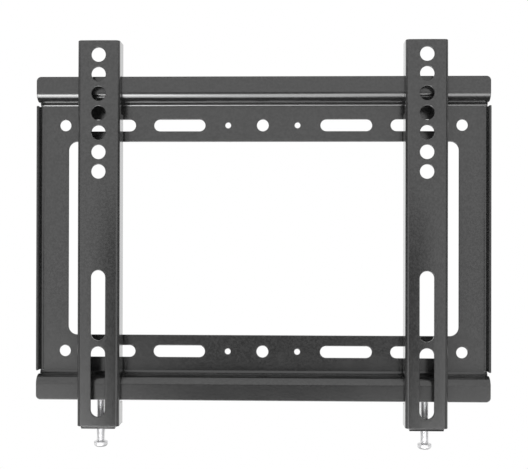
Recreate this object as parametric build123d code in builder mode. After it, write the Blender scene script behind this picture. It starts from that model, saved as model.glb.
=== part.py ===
from build123d import *
import os

# Fixed wall bracket for a small television: a folded wall plate, two arms that hang on its
# lips, and a lock screw at the foot of each arm.
# Millimetres. X runs to the viewer's right, Y into the wall and Z up.
# The origin is the middle of the wall plate's back face, which lies on the wall.

# Steel sheet of the plate and the arms
sheet = 1.5

# Wall plate: outer size, stepped lips along the top and bottom, flanges along the sides
plate_width = 282.0
plate_height = 199.4
lip_end_inset = 1.3
lip_flat = 9.3
lip_step = 10.6
lip_bend = 4.5
root_bend = 2.0
lip_corner = 2.8
flange_height = 7.5
flange_bend = 2.0
flange_setback = 2.0
flange_slit = 0.1

# Wall plate: window and the two rows of wall holes
rail_height = 21.9
side_rail_width = 19.05
window_corner = 5.4
row_inset = 11.65
end_hole_diameter = 7.0
end_hole_inset = 16.95
centre_hole_diameter = 7.35
small_hole_diameter = 3.6
wall_slot_length = 32.2
wall_slot_width = 7.3
end_hole_to_slot = 28.25
slot_to_slot = 43.7
slot_to_small_hole = 30.4

# Arms: folded channels, open towards the wall
arm_spacing = 200.0
arm_width = 25.8
arm_bend = 0.9
arm_standoff = 6.1
arm_wall_gap = 3.1
arm_rise = 21.3
foot_drop = 16.9
arm_hole_diameter = 8.7
arm_hole_count = 7
arm_hole_pitch = 11.9
arm_hole_inset = 8.85
arm_slot_length = 42.8
arm_slot_width = 8.7
arm_slot_gap = 3.85
arm_slot_inset = 7.55

# Arms: notches that hook over the top lip and swing in over the bottom lip
lip_clearance = 0.3
hang_clearance = 0.15
hook_engagement = 6.0
lift_room = 1.5
notch_corner = 0.8

# Arms: foot tab with a drawn, tapped collar for the lock screw
tab_bend = 0.4
tab_relief = 0.05
tab_gap = 0.1
tab_corner = 2.0
tab_margin = 0.6
collar_wall = 1.1
collar_height = 2.0

# Lock screws: pan head machine screws, tip behind the bottom lip
screw_diameter = 5.0
screw_length = 30.0
screw_engagement = 3.7
screw_lip_gap = 0.4
thread_clearance = 0.05
tip_chamfer = 0.8
head_diameter = 8.5
head_height = 3.1
head_side_height = 1.2
shoulder_diameter = 7.4
shoulder_height = 1.1
crown_diameter = 5.2
recess_span = 4.3
recess_width = 1.1
recess_depth = 1.7

# Wall plate, levels of the stepped section
half_width = plate_width / 2
lip_end_x = half_width - lip_end_inset
lip_edge_z = plate_height / 2
lip_bend_outer = lip_bend + sheet
root_bend_outer = root_bend + sheet
plate_front_y = -sheet
lip_front_y = plate_front_y - lip_step
lip_back_y = lip_front_y + sheet
shelf_top_z = lip_edge_z - lip_flat - lip_bend
shelf_bottom_z = shelf_top_z - sheet
plate_flat_z = shelf_bottom_z - root_bend

# Wall plate, places along the width and in the rails
flange_fold_x = half_width - sheet - flange_bend
flange_end_z = shelf_bottom_z - flange_setback
slit_end_z = flange_end_z + flange_slit
window_half_x = half_width - side_rail_width
window_half_z = plate_flat_z - rail_height
row_z = plate_flat_z - row_inset
end_hole_x = half_width - end_hole_inset
outer_slot_x = end_hole_x - end_hole_to_slot
inner_slot_x = outer_slot_x - slot_to_slot
small_hole_x = inner_slot_x - slot_to_small_hole

# Arms, levels set by the lips that they hang on
arm_front_y = lip_front_y - arm_standoff
arm_back_y = plate_front_y - arm_wall_gap
arm_depth = arm_back_y - arm_front_y
arm_bend_outer = arm_bend + sheet
tab_bend_outer = tab_bend + sheet
arm_top_z = lip_edge_z + arm_rise
foot_z = -lip_edge_z - foot_drop
side_wall_foot_z = foot_z + sheet + tab_gap
arm_hole_top_z = arm_top_z - arm_hole_inset
lower_slot_z = foot_z + arm_slot_inset + arm_slot_length / 2
upper_slot_z = lower_slot_z + arm_slot_length + arm_slot_gap
tab_width = arm_width - 2 * arm_bend_outer - 2 * tab_relief
notch_front_y = lip_front_y - lip_clearance
hook_front_y = lip_back_y + lip_clearance
hook_tip_z = lip_edge_z - hook_engagement
lift_height = hook_engagement + lift_room

# Lock screws, axis just behind the bottom lip, and the foot tab that reaches round their collars
screw_radius = screw_diameter / 2
screw_y = lip_back_y + screw_radius + screw_lip_gap
screw_tip_z = -lip_edge_z + screw_engagement
head_bottom_z = screw_tip_z - screw_length - head_height
tapped_radius = screw_radius + thread_clearance
collar_radius = tapped_radius + collar_wall
tab_depth = screw_y + collar_radius + tab_margin - arm_front_y


# Wall plate, folded from one sheet
with BuildPart() as wall_plate:
    # Stepped section: top lip, shelf, plate, shelf, bottom lip
    with BuildSketch(Plane.YZ):
        with BuildLine():
            FilletPolyline(
                (lip_front_y, lip_edge_z),
                (lip_front_y, shelf_bottom_z),
                (plate_front_y, shelf_bottom_z),
                (plate_front_y, -shelf_bottom_z),
                (lip_front_y, -shelf_bottom_z),
                (lip_front_y, -lip_edge_z),
                (lip_back_y, -lip_edge_z),
                (lip_back_y, -shelf_top_z),
                (0, -shelf_top_z),
                (0, shelf_top_z),
                (lip_back_y, shelf_top_z),
                (lip_back_y, lip_edge_z),
                radius=[0, lip_bend_outer, root_bend, root_bend, lip_bend_outer, 0]
                + [0, lip_bend, root_bend_outer, root_bend_outer, lip_bend, 0],
                close=True,
            )
        make_face()
    extrude(amount=lip_end_x, both=True)

    # Rounded free corners of the lips
    levels = wall_plate.edges().filter_by(Axis.Y).group_by(Axis.Z)
    fillet(levels[0] + levels[-1], lip_corner)

    # Plate ends cut back to the flange folds, with a slit at each end of a flange
    with BuildSketch(Plane.XZ):
        with GridLocations(half_width + flange_fold_x, 0, 2, 1):
            Rectangle(half_width - flange_fold_x, 2 * slit_end_z)
    extrude(amount=-2 * lip_front_y, both=True, mode=Mode.SUBTRACT)

    # Side flanges folded towards the viewer
    with BuildSketch(Plane.XY):
        with BuildLine():
            FilletPolyline(
                (flange_fold_x - sheet, 0),
                (half_width, 0),
                (half_width, -flange_height),
                (half_width - sheet, -flange_height),
                (half_width - sheet, plate_front_y),
                (flange_fold_x - sheet, plate_front_y),
                radius=[0, flange_bend + sheet, 0, 0, flange_bend, 0],
                close=True,
            )
        make_face()
        mirror(about=Plane.YZ)
    extrude(amount=flange_end_z, both=True)

    # Window and wall holes, punched through the plate
    with BuildSketch(Plane.XZ):
        RectangleRounded(2 * window_half_x, 2 * window_half_z, window_corner)
        with GridLocations(2 * end_hole_x, 2 * row_z, 2, 2):
            Circle(end_hole_diameter / 2)
        with GridLocations(2 * outer_slot_x, 2 * row_z, 2, 2):
            SlotOverall(wall_slot_length, wall_slot_width)
        with GridLocations(2 * inner_slot_x, 2 * row_z, 2, 2):
            SlotOverall(wall_slot_length, wall_slot_width)
        with GridLocations(2 * small_hole_x, 2 * row_z, 2, 2):
            Circle(small_hole_diameter / 2)
        with GridLocations(0, 2 * row_z, 1, 2):
            Circle(centre_hole_diameter / 2)
    extrude(amount=2 * sheet, both=True, mode=Mode.SUBTRACT)


def build_arm(centre_x):
    """A channel folded from one sheet, hooked on the top lip and closed below by its foot tab."""
    with BuildPart() as arm:
        # Channel section with its open side to the wall
        section_plane = Plane((centre_x, arm_front_y, side_wall_foot_z))
        with BuildSketch(section_plane):
            with BuildLine():
                FilletPolyline(
                    (-arm_width / 2, arm_depth),
                    (-arm_width / 2, 0),
                    (arm_width / 2, 0),
                    (arm_width / 2, arm_depth),
                    (arm_width / 2 - sheet, arm_depth),
                    (arm_width / 2 - sheet, sheet),
                    (sheet - arm_width / 2, sheet),
                    (sheet - arm_width / 2, arm_depth),
                    radius=[0, arm_bend_outer, arm_bend_outer, 0, 0, arm_bend, arm_bend, 0],
                    close=True,
                )
            make_face()
        extrude(amount=arm_top_z - side_wall_foot_z)

        # Hook notch over the top lip, and a notch open to the wall over the bottom lip
        with BuildSketch(Plane.YZ.offset(centre_x)):
            with BuildLine():
                FilletPolyline(
                    (notch_front_y, lip_edge_z + hang_clearance),
                    (notch_front_y, shelf_bottom_z - lift_height),
                    (0, shelf_bottom_z - lift_height),
                    (0, hook_tip_z),
                    (hook_front_y, hook_tip_z),
                    (hook_front_y, lip_edge_z + hang_clearance),
                    radius=[0, notch_corner, 0, 0, notch_corner, 0],
                    close=True,
                )
            make_face()
            with BuildLine():
                FilletPolyline(
                    (0, lift_room - shelf_bottom_z),
                    (notch_front_y, lift_room - shelf_bottom_z),
                    (notch_front_y, -lip_edge_z - lift_room),
                    (0, -lip_edge_z - lift_room),
                    radius=[0, notch_corner, notch_corner, 0],
                    close=True,
                )
            make_face()
        extrude(amount=arm_width, both=True, mode=Mode.SUBTRACT)

        # Foot tab, the front wall folded back under the side walls
        tab_plane = Plane((centre_x, arm_front_y, foot_z), x_dir=(0, 1, 0), z_dir=(1, 0, 0))
        with BuildSketch(tab_plane):
            with BuildLine():
                FilletPolyline(
                    (0, 2 * tab_bend_outer),
                    (0, 0),
                    (tab_depth, 0),
                    (tab_depth, sheet),
                    (sheet, sheet),
                    (sheet, 2 * tab_bend_outer),
                    radius=[0, tab_bend_outer, 0, 0, tab_bend, 0],
                    close=True,
                )
            make_face()
        extrude(amount=tab_width / 2, both=True)
        fillet(arm.edges().filter_by(Axis.Z).group_by(Axis.Z)[0], tab_corner)

        # Drawn collar with the tapped hole of the lock screw
        with BuildSketch(Plane((centre_x, screw_y, foot_z))):
            Circle(collar_radius)
        extrude(amount=sheet + collar_height)
        with BuildSketch(Plane((centre_x, screw_y, foot_z))):
            Circle(tapped_radius)
        extrude(amount=sheet + collar_height, mode=Mode.SUBTRACT)

        # Round holes and slots for the television's bolts
        hole_span = (arm_hole_count - 1) * arm_hole_pitch
        with BuildSketch(Plane((centre_x, arm_front_y, 0), x_dir=(1, 0, 0), z_dir=(0, -1, 0))):
            with Locations((0, arm_hole_top_z - hole_span / 2)):
                with GridLocations(0, arm_hole_pitch, 1, arm_hole_count):
                    Circle(arm_hole_diameter / 2)
            with Locations((0, upper_slot_z), (0, lower_slot_z)):
                SlotOverall(arm_slot_length, arm_slot_width, rotation=90)
        extrude(amount=2 * sheet, both=True, mode=Mode.SUBTRACT)
    return arm


def build_lock_screw(centre_x):
    """A pan head screw, head down, with a cross recess."""
    with BuildPart() as screw:
        # Turned outline from the tip down to the head
        tip_plane = Plane((centre_x, screw_y, screw_tip_z), x_dir=(1, 0, 0), z_dir=(0, -1, 0))
        with BuildSketch(tip_plane):
            with BuildLine():
                Polyline(
                    (0, 0),
                    (screw_radius - tip_chamfer, 0),
                    (screw_radius, -tip_chamfer),
                    (screw_radius, -screw_length),
                    (head_diameter / 2, -screw_length),
                    (head_diameter / 2, -screw_length - head_side_height),
                    (shoulder_diameter / 2, -screw_length - head_side_height - shoulder_height),
                    (crown_diameter / 2, -screw_length - head_height),
                    (0, -screw_length - head_height),
                    close=True,
                )
            make_face()
        revolve(axis=Axis((centre_x, screw_y, 0), (0, 0, 1)))

        # Cross recess in the head
        with BuildSketch(Plane((centre_x, screw_y, head_bottom_z))):
            Rectangle(recess_span, recess_width)
            Rectangle(recess_width, recess_span)
        extrude(amount=recess_depth, mode=Mode.SUBTRACT)
    return screw


os.makedirs("parts", exist_ok=True)
wall_plate.part.label = "wall_plate"
export_step(wall_plate.part, "parts/wall_plate.step")

for side, arm_x in (("left", -arm_spacing / 2), ("right", arm_spacing / 2)):
    arm = build_arm(arm_x)
    arm.part.label = f"{side}_arm"
    export_step(arm.part, f"parts/{side}_arm.step")

    lock_screw = build_lock_screw(arm_x)
    lock_screw.part.label = f"{side}_lock_screw"
    export_step(lock_screw.part, f"parts/{side}_lock_screw.step")
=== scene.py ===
from math import cos, pi, radians, sin, tan, tau

import bmesh
import bpy
from mathutils import Matrix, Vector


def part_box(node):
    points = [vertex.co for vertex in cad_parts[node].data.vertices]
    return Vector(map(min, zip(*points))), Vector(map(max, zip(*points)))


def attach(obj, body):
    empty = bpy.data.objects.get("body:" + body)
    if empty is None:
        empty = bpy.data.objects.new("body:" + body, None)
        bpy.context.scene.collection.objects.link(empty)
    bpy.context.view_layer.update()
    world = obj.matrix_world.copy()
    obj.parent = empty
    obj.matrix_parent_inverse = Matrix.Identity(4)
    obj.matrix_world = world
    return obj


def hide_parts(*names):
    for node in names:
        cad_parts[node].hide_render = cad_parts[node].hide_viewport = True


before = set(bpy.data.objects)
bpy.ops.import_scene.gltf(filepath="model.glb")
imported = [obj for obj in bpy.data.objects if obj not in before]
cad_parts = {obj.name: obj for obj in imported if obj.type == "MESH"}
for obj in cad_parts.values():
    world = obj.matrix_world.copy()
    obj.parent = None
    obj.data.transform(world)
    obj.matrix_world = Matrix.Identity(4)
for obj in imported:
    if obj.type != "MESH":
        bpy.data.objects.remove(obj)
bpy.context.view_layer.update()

MM = 0.001

# Camera, fitted to the photograph's frame
CAMERA_PLACE = (0.017395, -0.59236, 0.000534)
CAMERA_PAN = radians(1.602)
CAMERA_TILT = radians(90.19)
CAMERA_ROLL = radians(0.121)
CAMERA_LENS = 64.48
SENSOR_WIDTH = 36.0

# Softened edges of the coated sheets, rounder along the front of the plate's flanges
SHEET_EDGE = 0.42 * MM
FLANGE_EDGE = 0.65 * MM
FLANGE_BAND = 2.0 * MM
FLANGE_REACH = 3.0 * MM
EDGE_STEPS = 3
SHARP_ANGLE = radians(40)
FLAT_ANGLE = radians(0.5)
SHEET_WELD = 1e-6
FINE_WELD = 1e-7

# Slight crown of the arms' fronts, which fades out along their side walls
ARM_CROWN = 0.3 * MM
CROWN_DEPTH = 6.0 * MM
CROWN_STRIPS = 12

# Lock screws: M5 thread, with half its crest and its flank as shares of the pitch
PITCH = 0.8 * MM
CREST_RADIUS = 2.5 * MM
ROOT_RADIUS = 2.08 * MM
TIP_RADIUS = 1.7 * MM
HALF_CREST = 0.0625
FLANK = 0.3125
EXTRA_TURNS = 3
THREAD_STEPS = 8
THREAD_SIDES = 40

# Pan head, with a neck that laps into the thread's root, and its cross recess
HEAD_HEIGHT = 3.1 * MM
HEAD_SIDE = 1.15 * MM
HEAD_EDGE = 0.25 * MM
HEAD_EDGE_MIDDLE = 0.07 * MM
HEAD_FLAT = 0.52
HEAD_STEPS = 8
HEAD_SIDES = 56
NECK_LAP = 0.3 * MM
NECK_SHARE = 0.9
RECESS_REACH = 2.15 * MM
RECESS_HALF_WIDTH = 0.55 * MM
RECESS_DEPTH = 1.7 * MM
RECESS_RUNOUT = 0.5 * MM
RECESS_DRAFT = 0.72
SCREW_SHARP_ANGLE = radians(38)

# Coatings: shades, ranges of roughness, and how fine their noise is
NOISE_STOPS = (0.3, 0.7)
GRAIN_SCALE = 900.0
GRAIN_DETAIL = 2.0
COAT_DARK = (0.0095, 0.0095, 0.0095, 1)
COAT_LIGHT = (0.0245, 0.0245, 0.0245, 1)
COAT_STOPS = (0.4, 0.6)
COAT_ROUGHNESS = (0.17, 0.21)
COAT_SPECULAR = 0.5
SKIN_ROUGHNESS = 0.19
PEEL_SCALE = 1500.0
PEEL_DETAIL = 2.0
PEEL_STRENGTH = 0.07
PEEL_DISTANCE = 0.0001
DRIFT_SCALE = 60.0
DRIFT_DETAIL = 3.0
EDGE_SHADES = (0.010, 0.018)
EDGE_ROUGHNESS = (0.5, 0.6)
EDGE_SPECULAR = 0.15
ZINC_DARK = (0.84, 0.84, 0.85, 1)
ZINC_LIGHT = (0.91, 0.91, 0.92, 1)
ZINC_ROUGHNESS = (0.3, 0.42)
ZINC_METALLIC = 0.7
CLOUD_SCALE = 700.0
CLOUD_DETAIL = 3.0

# Soft panels around the front: range to the right and range above the level in degrees, then how bright
PANEL_SPREAD = radians(70)
PANELS = {
    "left_edge": ((-42, -17), (-22, -14), 0.30),
    "right_edge": ((4, 22), (-22, -13), 0.20),
    "low_far_left": ((-42, -27), (-46, -22), 0.55),
    "low_left": ((-27, -8), (-46, -22), 1.60),
    "low_middle": ((-8, 12), (-46, -22), 0.65),
    "low_right": ((12, 42), (-46, -22), 0.65),
    "near": ((-42, 12), (-63, -46), 0.65),
}
PANEL_DISTANCE = 2.2
NEAR_DISTANCE = 1.6
NEAR_BELOW = -40

# Pale floor, far below, and cards that no camera sees: x, y and z ranges in metres
AMBIENT = 0.7
FLOOR = ((-9.0, 9.0), (-9.0, 8.0), (-2.4, -2.4))
GREY_CARDS = {
    "front_card": ((-0.5, 0.42), (-2.2, -2.2), (-0.42, 0.06)),
    "low_card": ((-0.38, 0.62), (-2.2, -2.2), (-0.66, -0.42)),
    "left_card": ((-0.9, -0.9), (0.1, 1.0), (-0.2, 0.3)),
    "right_card": ((0.9, 0.9), (0.1, 1.0), (-0.2, 0.3)),
}
DARK_CARDS = {
    "under_card": ((-0.6, 0.6), (-0.46, 1.4), (-0.8, -0.8)),
    "over_card": ((-0.6, 0.6), (-0.08, 1.2), (0.9, 0.9)),
    "left_front_card": ((-0.9, -0.9), (-0.6, -0.14), (-0.3, 0.3)),
    "right_front_card": ((0.9, 0.9), (-0.6, -0.14), (-0.3, 0.3)),
}
FLOOR_SHADES = (0.87, 0.89)
GREY_SHADES = (0.22, 0.26)
DARK_SHADES = (0.04, 0.06)
PAINT_SCALE = 2.0
PAINT_DETAIL = 2.0
PAINT_ROUGHNESS = 0.9
PAINT_SPECULAR = 0.1


def new_material(name):
    material = bpy.data.materials.new(name)
    material.use_nodes = True
    tree = material.node_tree
    shader = tree.nodes["Principled BSDF"]
    return material, tree, shader


def add_node(tree, kind, **settings):
    node = tree.nodes.new(kind)
    for key, value in settings.items():
        if key in node.inputs:
            node.inputs[key].default_value = value
        else:
            setattr(node, key, value)
    return node


def noise_at(tree, place, scale, detail):
    node = add_node(tree, "ShaderNodeTexNoise", Scale=scale, Detail=detail)
    tree.links.new(place.outputs["Object"], node.inputs["Vector"])
    return node


def value_ramp(tree, source, low, high, start, end):
    """Maps a 0 to 1 texture onto a range of values between two stops."""
    node = add_node(tree, "ShaderNodeMapRange")
    node.inputs["From Min"].default_value = start
    node.inputs["From Max"].default_value = end
    node.inputs["To Min"].default_value = low
    node.inputs["To Max"].default_value = high
    tree.links.new(source, node.inputs["Value"])
    return node


def colour_ramp(tree, source, dark, light, start, end):
    """Maps a 0 to 1 texture onto two colours between two stops."""
    node = add_node(tree, "ShaderNodeValToRGB")
    stops = node.color_ramp.elements
    stops[0].position = start
    stops[0].color = dark
    stops[1].position = end
    stops[1].color = light
    tree.links.new(source, node.inputs["Fac"])
    return node


def powder_coat():
    """Satin black powder coat: fine orange peel and faint mottling under a smooth skin."""
    material, tree, shader = new_material("black_powder_coat")
    place = add_node(tree, "ShaderNodeTexCoord")
    peel = noise_at(tree, place, PEEL_SCALE, PEEL_DETAIL)
    grain = noise_at(tree, place, GRAIN_SCALE, GRAIN_DETAIL)
    drift = noise_at(tree, place, DRIFT_SCALE, DRIFT_DETAIL)
    colour = colour_ramp(tree, grain.outputs["Fac"], COAT_DARK, COAT_LIGHT, *COAT_STOPS)
    tree.links.new(colour.outputs["Color"], shader.inputs["Base Color"])
    rough = value_ramp(tree, drift.outputs["Fac"], *COAT_ROUGHNESS, *NOISE_STOPS)
    tree.links.new(rough.outputs["Result"], shader.inputs["Roughness"])
    bump = add_node(tree, "ShaderNodeBump", Strength=PEEL_STRENGTH, Distance=PEEL_DISTANCE)
    tree.links.new(peel.outputs["Fac"], bump.inputs["Height"])
    tree.links.new(bump.outputs["Normal"], shader.inputs["Normal"])
    tree.links.new(bump.outputs["Normal"], shader.inputs["Coat Normal"])
    shader.inputs["Specular IOR Level"].default_value = COAT_SPECULAR
    shader.inputs["Coat Weight"].default_value = 1.0
    shader.inputs["Coat Roughness"].default_value = SKIN_ROUGHNESS
    return material


def thin_coat():
    """The same powder coat where it draws thin and matt over a punched or sheared edge."""
    material, tree, shader = new_material("black_powder_coat_edge")
    place = add_node(tree, "ShaderNodeTexCoord")
    grain = noise_at(tree, place, GRAIN_SCALE, GRAIN_DETAIL)
    shade = value_ramp(tree, grain.outputs["Fac"], *EDGE_SHADES, *NOISE_STOPS)
    tree.links.new(shade.outputs["Result"], shader.inputs["Base Color"])
    rough = value_ramp(tree, grain.outputs["Fac"], *EDGE_ROUGHNESS, *NOISE_STOPS)
    tree.links.new(rough.outputs["Result"], shader.inputs["Roughness"])
    shader.inputs["Specular IOR Level"].default_value = EDGE_SPECULAR
    return material


def zinc_plate():
    """Bright zinc plating with a faint cloudiness."""
    material, tree, shader = new_material("zinc_plate")
    place = add_node(tree, "ShaderNodeTexCoord")
    cloud = noise_at(tree, place, CLOUD_SCALE, CLOUD_DETAIL)
    colour = colour_ramp(tree, cloud.outputs["Fac"], ZINC_DARK, ZINC_LIGHT, *NOISE_STOPS)
    tree.links.new(colour.outputs["Color"], shader.inputs["Base Color"])
    rough = value_ramp(tree, cloud.outputs["Fac"], *ZINC_ROUGHNESS, *NOISE_STOPS)
    tree.links.new(rough.outputs["Result"], shader.inputs["Roughness"])
    shader.inputs["Metallic"].default_value = ZINC_METALLIC
    return material


def add_object(name, mesh_data, material):
    piece = bpy.data.objects.new(name, mesh_data)
    bpy.context.scene.collection.objects.link(piece)
    mesh_data.materials.clear()
    mesh_data.materials.append(material)
    return piece


def smooth_data(mesh, name):
    """Turns a bmesh into smoothly shaded mesh data and frees it."""
    for face in mesh.faces:
        face.smooth = True
    data = bpy.data.meshes.new(name)
    mesh.to_mesh(data)
    mesh.free()
    return data


def crown_front(mesh, low, high):
    """Lets the front's two long edges stand a little behind its middle."""
    width = high.x - low.x
    middle = (low.x + high.x) / 2
    for k in range(1, CROWN_STRIPS):
        parts = mesh.verts[:] + mesh.edges[:] + mesh.faces[:]
        place = (low.x + width * k / CROWN_STRIPS, 0, 0)
        bmesh.ops.bisect_plane(mesh, geom=parts, dist=FINE_WELD, plane_co=place, plane_no=(1, 0, 0))
    for vert in mesh.verts:
        fade = max(0.0, 1 - (vert.co.y - low.y) / CROWN_DEPTH)
        vert.co.y += ARM_CROWN * fade * (2 * (vert.co.x - middle) / width) ** 2


def soften(mesh, offset, chosen):
    """Rounds the chosen sharp edges; the new faces take the second material."""
    mesh.normal_update()
    sharp = [e for e in mesh.edges if e.is_manifold and e.calc_face_angle_signed(0) > SHARP_ANGLE]
    edges = [e for e in sharp if chosen(e)]
    bmesh.ops.bevel(mesh, geom=edges, offset=offset, offset_type="OFFSET", segments=EDGE_STEPS,
                    profile=0.5, affect="EDGES", clamp_overlap=False, material=1)


def is_flange_front(edge, low, high):
    """True for the two long edges along the front of a side flange."""
    a, b = edge.verts[0].co, edge.verts[1].co
    at_end = min(a.x - low.x, high.x - a.x) < FLANGE_BAND
    upright = abs(a.z - b.z) > (high.z - low.z) / 2
    return at_end and upright and a.y < high.y - FLANGE_REACH


def coated_sheet(node, material, edge_material, crowned):
    """A copy of a folded sheet with whole flat faces and softened edges, which stands for its CAD node."""
    low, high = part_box(node)
    mesh = bmesh.new()
    mesh.from_mesh(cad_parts[node].data)
    bmesh.ops.remove_doubles(mesh, verts=mesh.verts, dist=SHEET_WELD)
    bmesh.ops.dissolve_limit(mesh, angle_limit=FLAT_ANGLE, verts=mesh.verts, edges=mesh.edges)
    if not crowned:
        soften(mesh, FLANGE_EDGE, lambda edge: is_flange_front(edge, low, high))
    soften(mesh, SHEET_EDGE, lambda edge: True)
    if crowned:
        crown_front(mesh, low, high)
    for vert in mesh.verts:
        vert.co = [min(max(c, a), b) for c, a, b in zip(vert.co, low, high)]
    data = smooth_data(mesh, node + "_coated")
    piece = add_object(node + "_coated", data, material)
    data.materials.append(edge_material)
    weighted = piece.modifiers.new("flat faces", "WEIGHTED_NORMAL")
    weighted.keep_sharp = True
    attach(piece, node)
    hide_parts(node)


def thread_radius(turn, below_tip):
    """Height of a 60 degree thread at a share of its turn, with the tip's chamfer."""
    rise = min(1.0, max(0.0, (abs(turn - 0.5) - HALF_CREST) / FLANK))
    return min(CREST_RADIUS + (ROOT_RADIUS - CREST_RADIUS) * rise, TIP_RADIUS + below_tip)


def thread_mesh(centre, seat, tip):
    """A helical thread from the head's seat up to the tip, closed at both ends."""
    mesh = bmesh.new()
    rows = (int((tip - seat) / PITCH) + EXTRA_TURNS) * THREAD_STEPS
    columns = []
    for i in range(THREAD_SIDES):
        angle = tau * i / THREAD_SIDES
        column = []
        for j in range(rows + 1):
            turns = j / THREAD_STEPS
            level = tip + PITCH - PITCH * (turns + i / THREAD_SIDES)
            if level >= tip:
                level, radius = tip, TIP_RADIUS
            elif level <= seat:
                level, radius = seat, ROOT_RADIUS
            else:
                radius = thread_radius(turns % 1.0, tip - level)
            place = (centre.x + radius * cos(angle), centre.y + radius * sin(angle), level)
            column.append(mesh.verts.new(place))
        columns.append(column)
    for i in range(THREAD_SIDES):
        shift = THREAD_STEPS if i == THREAD_SIDES - 1 else 0
        here, there = columns[i], columns[(i + 1) % THREAD_SIDES]
        for j in range(rows - shift):
            mesh.faces.new((here[j], here[j + 1], there[j + 1 + shift], there[j + shift]))
    bmesh.ops.remove_doubles(mesh, verts=mesh.verts, dist=FINE_WELD)
    bmesh.ops.dissolve_degenerate(mesh, edges=mesh.edges, dist=FINE_WELD)
    loose = [v for v in mesh.verts if not v.link_faces]
    bmesh.ops.delete(mesh, geom=loose, context="VERTS")
    bmesh.ops.holes_fill(mesh, edges=[e for e in mesh.edges if e.is_boundary], sides=0)
    bmesh.ops.recalc_face_normals(mesh, faces=mesh.faces)
    return mesh


def lathe(mesh, centre, outline, sides):
    """Turns an outline of (radius, level) pairs about an upright axis; returns the rings."""
    rings = []
    for radius, level in outline:
        ring = []
        for i in range(sides):
            angle = tau * i / sides
            place = (centre.x + radius * cos(angle), centre.y + radius * sin(angle), level)
            ring.append(mesh.verts.new(place))
        rings.append(ring)
    for upper, lower in zip(rings, rings[1:]):
        for i in range(sides):
            k = (i + 1) % sides
            mesh.faces.new((upper[i], lower[i], lower[k], upper[k]))
    return rings


def head_mesh(centre, seat, radius):
    """A pan head that hangs from its seat, with softened upper edge and a domed end."""
    mesh = bmesh.new()
    outline = [
        (ROOT_RADIUS * NECK_SHARE, seat + NECK_LAP),
        (ROOT_RADIUS, seat),
        (radius - HEAD_EDGE, seat),
        (radius - HEAD_EDGE_MIDDLE, seat - HEAD_EDGE_MIDDLE),
        (radius, seat - HEAD_EDGE),
        (radius, seat - HEAD_SIDE),
    ]
    dome = HEAD_HEIGHT - HEAD_SIDE
    for k in range(1, HEAD_STEPS + 1):
        angle = pi / 2 * k / HEAD_STEPS
        share = HEAD_FLAT + (1 - HEAD_FLAT) * cos(angle)
        outline.append((radius * share, seat - HEAD_SIDE - dome * sin(angle)))
    rings = lathe(mesh, centre, outline, HEAD_SIDES)
    mesh.faces.new(rings[0])
    mesh.faces.new(rings[-1])
    bmesh.ops.recalc_face_normals(mesh, faces=mesh.faces)
    return mesh


def recess_mesh(centre, end):
    """Two crossed wedges that reach into the head from its end."""
    mesh = bmesh.new()
    for reach, width in ((RECESS_REACH, RECESS_HALF_WIDTH), (RECESS_HALF_WIDTH, RECESS_REACH)):
        rings = []
        for level, share in ((end - RECESS_RUNOUT, 1.0), (end + RECESS_DEPTH, RECESS_DRAFT)):
            ring = []
            for sx, sy in ((-1, -1), (1, -1), (1, 1), (-1, 1)):
                place = (centre.x + sx * reach * share, centre.y + sy * width * share, level)
                ring.append(mesh.verts.new(place))
            rings.append(ring)
        bottom, top = rings
        mesh.faces.new(bottom[::-1])
        mesh.faces.new(top)
        for i in range(4):
            k = (i + 1) % 4
            mesh.faces.new((bottom[i], bottom[k], top[k], top[i]))
    return mesh


def cut_away(piece, mesh, material):
    """Cuts a bmesh out of a piece for good."""
    data = bpy.data.meshes.new("cutter")
    mesh.to_mesh(data)
    mesh.free()
    cutter = add_object("cutter", data, material)
    cut = piece.modifiers.new("cut", "BOOLEAN")
    cut.operation = "DIFFERENCE"
    cut.solver = "EXACT"
    cut.use_self = True
    cut.object = cutter
    graph = bpy.context.evaluated_depsgraph_get()
    finished = bpy.data.meshes.new_from_object(piece.evaluated_get(graph))
    piece.modifiers.clear()
    piece.data = finished
    bpy.data.objects.remove(cutter)


def lock_screw(node, material):
    """An M5 pan head screw with a cut thread, in the place of its CAD node."""
    low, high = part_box(node)
    centre = (low + high) / 2
    head_radius = (high.x - low.x) / 2
    seat = low.z + HEAD_HEIGHT
    shank = smooth_data(thread_mesh(centre, seat, high.z), node + "_thread")
    shank_piece = add_object(node + "_thread", shank, material)
    head = smooth_data(head_mesh(centre, seat, head_radius), node + "_head")
    head_piece = add_object(node + "_head", head, material)
    cut_away(head_piece, recess_mesh(centre, low.z), material)
    for piece in (shank_piece, head_piece):
        piece.data.set_sharp_from_angle(angle=SCREW_SHARP_ANGLE)
        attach(piece, node)
    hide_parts(node)


def around(azimuth, elevation, distance):
    """A place in front of the bracket, by its angle to the right and above the level."""
    a, e = radians(azimuth), radians(elevation)
    return (distance * sin(a) * cos(e), -distance * cos(a) * cos(e), distance * sin(e))


def add_panel(name, azimuths, elevations, level):
    """A soft panel that fills a patch of the surroundings and faces the bracket."""
    azimuth = sum(azimuths) / 2
    elevation = sum(elevations) / 2
    distance = NEAR_DISTANCE if elevation < NEAR_BELOW else PANEL_DISTANCE
    width = 2 * distance * tan(radians(azimuths[1] - azimuths[0]) / 2) * cos(radians(elevation))
    height = 2 * distance * tan(radians(elevations[1] - elevations[0]) / 2)
    data = bpy.data.lights.new(name, "AREA")
    data.shape = "RECTANGLE"
    data.size = width
    data.size_y = height
    data.spread = PANEL_SPREAD
    data.energy = level * pi * width * height
    lamp = bpy.data.objects.new(name, data)
    lamp.location = around(azimuth, elevation, distance)
    lamp.rotation_euler = (-lamp.location).to_track_quat("-Z", "Y").to_euler()
    lamp.visible_camera = False
    bpy.context.scene.collection.objects.link(lamp)


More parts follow.
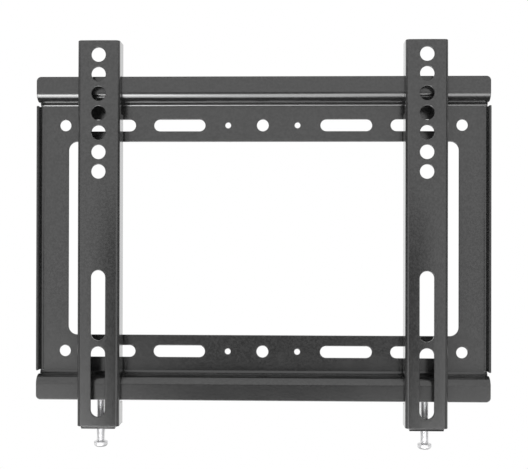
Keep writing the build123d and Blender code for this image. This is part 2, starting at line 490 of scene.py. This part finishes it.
def white_world():
    """White to the camera and in reflections, dimmer as a source of light."""
    world = bpy.data.worlds.new("studio")
    bpy.context.scene.world = world
    world.use_nodes = True
    tree = world.node_tree
    background = tree.nodes["Background"]
    background.inputs["Color"].default_value = (1, 1, 1, 1)
    path = add_node(tree, "ShaderNodeLightPath")
    seen = path.outputs["Is Camera Ray"]
    for output in ("Is Glossy Ray", "Is Transmission Ray"):
        total = add_node(tree, "ShaderNodeMath", operation="MAXIMUM")
        tree.links.new(seen, total.inputs[0])
        tree.links.new(path.outputs[output], total.inputs[1])
        seen = total.outputs[0]
    level = value_ramp(tree, seen, AMBIENT, 1.0, 0.0, 1.0)
    tree.links.new(level.outputs["Result"], background.inputs["Strength"])


def plain_paint(name, shades):
    """Matt paint with a faint drift of its shade."""
    material, tree, shader = new_material(name)
    place = add_node(tree, "ShaderNodeTexCoord")
    drift = noise_at(tree, place, PAINT_SCALE, PAINT_DETAIL)
    shade = value_ramp(tree, drift.outputs["Fac"], *shades, *NOISE_STOPS)
    tree.links.new(shade.outputs["Result"], shader.inputs["Base Color"])
    shader.inputs["Roughness"].default_value = PAINT_ROUGHNESS
    shader.inputs["Specular IOR Level"].default_value = PAINT_SPECULAR
    return material


def add_sheet(name, ranges, material):
    """A flat rectangle, square to the axis along which its range is a single value."""
    (x0, x1), (y0, y1), (z0, z1) = ranges
    if x0 == x1:
        corners = [(x0, y0, z0), (x0, y1, z0), (x0, y1, z1), (x0, y0, z1)]
    else:
        corners = [(x0, y0, z0), (x1, y0, z0), (x1, y1, z1), (x0, y1, z1)]
    mesh = bpy.data.meshes.new(name)
    mesh.from_pydata(corners, [], [(0, 1, 2, 3)])
    sheet = add_object(name, mesh, material)
    return sheet


def add_cards(cards, material):
    """Cards that darken what the bracket reflects, out of the picture from every side."""
    for name, ranges in cards.items():
        card = add_sheet(name, ranges, material)
        card.visible_camera = False


coat = powder_coat()
edge_coat = thin_coat()
zinc = zinc_plate()
coated_sheet("wall_plate", coat, edge_coat, crowned=False)
coated_sheet("left_arm", coat, edge_coat, crowned=True)
coated_sheet("right_arm", coat, edge_coat, crowned=True)
for screw_node in ("left_lock_screw", "right_lock_screw"):
    lock_screw(screw_node, zinc)

white_world()
add_sheet("floor", FLOOR, plain_paint("pale_floor", FLOOR_SHADES))
add_cards(GREY_CARDS, plain_paint("grey_card", GREY_SHADES))
add_cards(DARK_CARDS, plain_paint("dark_card", DARK_SHADES))
for panel, (azimuths, elevations, level) in PANELS.items():
    add_panel(panel, azimuths, elevations, level)

camera_data = bpy.data.cameras.new("camera")
camera_data.lens = CAMERA_LENS
camera_data.sensor_width = SENSOR_WIDTH
camera_data.sensor_fit = "HORIZONTAL"
camera = bpy.data.objects.new("camera", camera_data)
camera.matrix_world = (Matrix.Translation(CAMERA_PLACE) @ Matrix.Rotation(CAMERA_PAN, 4, "Z")
                       @ Matrix.Rotation(CAMERA_TILT, 4, "X") @ Matrix.Rotation(CAMERA_ROLL, 4, "Z"))
bpy.context.scene.collection.objects.link(camera)
bpy.context.scene.camera = camera
bpy.context.scene.view_settings.view_transform = "Standard"
